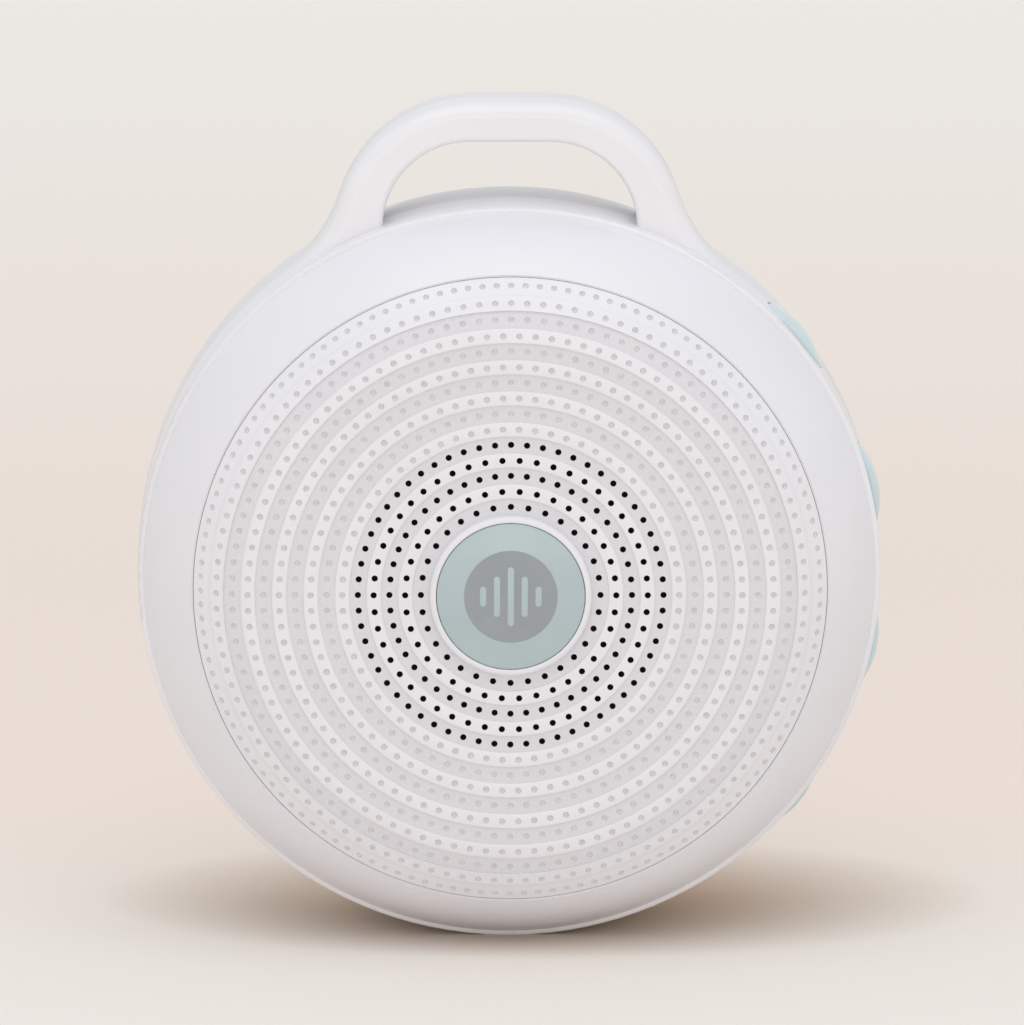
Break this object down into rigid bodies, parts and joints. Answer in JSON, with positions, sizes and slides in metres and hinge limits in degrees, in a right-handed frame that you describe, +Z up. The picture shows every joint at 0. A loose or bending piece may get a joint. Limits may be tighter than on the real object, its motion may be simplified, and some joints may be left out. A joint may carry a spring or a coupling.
{
  "type": "portable white noise machine",
  "caption": "Round drum-shaped sound machine standing on its edge, with a carrying handle on top, a dotted ring-patterned speaker front and keys in the rim.",
  "frame": {"origin": "middle of the flat resting land under the drum", "axes": "+X to the right seen from the front, +Y from the front to the back, +Z up through the handle"},
  "size_m": [0.0944, 0.041, 0.107],
  "materials": {
    "white_shell": "fine satin moulded",
    "white_front": "satin, faint grain in the sunk bands",
    "mint_key": "gloss",
    "badge": "satin print under clear gloss",
    "adhesive": "matt",
    "black_cloth": "open weave",
    "black_rubber": "matt",
    "cone_paper": "pressed pulp",
    "spider_cloth": "resin-dipped weave",
    "plated_steel": "zinc plated",
    "ferrite": "ground ferrite",
    "copper": "enamelled copper wire",
    "circuit_board": "solder mask",
    "chip_black": "moulded epoxy",
    "capacitor_can": "drawn can",
    "connector_ivory": "moulded nylon",
    "battery_wrap": "foil pouch",
    "foam": "soft foam",
    "lead_red": "PVC sleeve",
    "lead_black": "PVC sleeve"
  },
  "bodies": {
    "housing": {"rear_housing": "white_shell", "front_housing": "white_shell", "front_bezel": "white_front", "grille_disc": "white_front", "centre_badge": "badge", "badge_adhesive_pad": "adhesive", "grille_cloth": "black_cloth", "speaker_gasket": "foam", "speaker_basket": "plated_steel", "speaker_surround": "black_rubber", "speaker_spider": "spider_cloth", "speaker_top_plate": "plated_steel", "speaker_magnet": "ferrite", "speaker_back_plate": "plated_steel", "speaker_terminal_strip": "circuit_board", "speaker_lead": "lead_black", "speaker_lead_socket": "connector_ivory", "speaker_lead_plug": "connector_ivory", "main_board": "circuit_board", "sound_chip": "chip_black", "amplifier_chip": "chip_black", "board_capacitors": "capacitor_can", "charging_socket": "plated_steel", "battery_cell": "battery_wrap", "battery_foam_pad": "foam", "battery_lead": "lead_red", "battery_lead_socket": "connector_ivory", "battery_lead_plug": "connector_ivory", "housing_screws": "plated_steel", "bezel_screws": "plated_steel", "grille_disc_screws": "plated_steel", "speaker_screws": "plated_steel", "board_screws": "plated_steel", "top_switch": "chip_black", "upper_switch": "chip_black", "lower_switch": "chip_black", "bottom_switch": "chip_black"},
    "speaker_diaphragm": {"speaker_cone": "cone_paper", "speaker_dust_cap": "cone_paper", "speaker_voice_coil": "copper"},
    "top_key_press": {"top_key": "mint_key", "top_switch_plunger": "connector_ivory"},
    "upper_key_press": {"upper_key": "mint_key", "upper_switch_plunger": "connector_ivory"},
    "lower_key_press": {"lower_key": "mint_key", "lower_switch_plunger": "connector_ivory"},
    "bottom_key_press": {"bottom_key": "mint_key", "bottom_switch_plunger": "connector_ivory"}
  },
  "joints": [
    {"name": "speaker_stroke", "type": "slide", "parent": "housing", "child": "speaker_diaphragm", "axis": [0, -1, 0], "range_m": [-0.0006, 0.0006], "stiffness_N_per_m": 900, "deforming": ["speaker_surround", "speaker_spider"]},
    {"name": "top_key_press", "type": "slide", "parent": "housing", "child": "top_key_press", "axis": [-0.7738, 0, -0.6334], "range_m": [0, 0.0004], "stiffness_N_per_m": 2000, "springref_m": -0.0001},
    {"name": "upper_key_press", "type": "slide", "parent": "housing", "child": "upper_key_press", "axis": [-0.974, 0, -0.2267], "range_m": [0, 0.0004], "stiffness_N_per_m": 2000, "springref_m": -0.0001},
    {"name": "lower_key_press", "type": "slide", "parent": "housing", "child": "lower_key_press", "axis": [-0.974, 0, 0.2267], "range_m": [0, 0.0004], "stiffness_N_per_m": 2000, "springref_m": -0.0001},
    {"name": "bottom_key_press", "type": "slide", "parent": "housing", "child": "bottom_key_press", "axis": [-0.7738, 0, 0.6334], "range_m": [0, 0.0004], "stiffness_N_per_m": 2000, "springref_m": -0.0001}
  ]
}
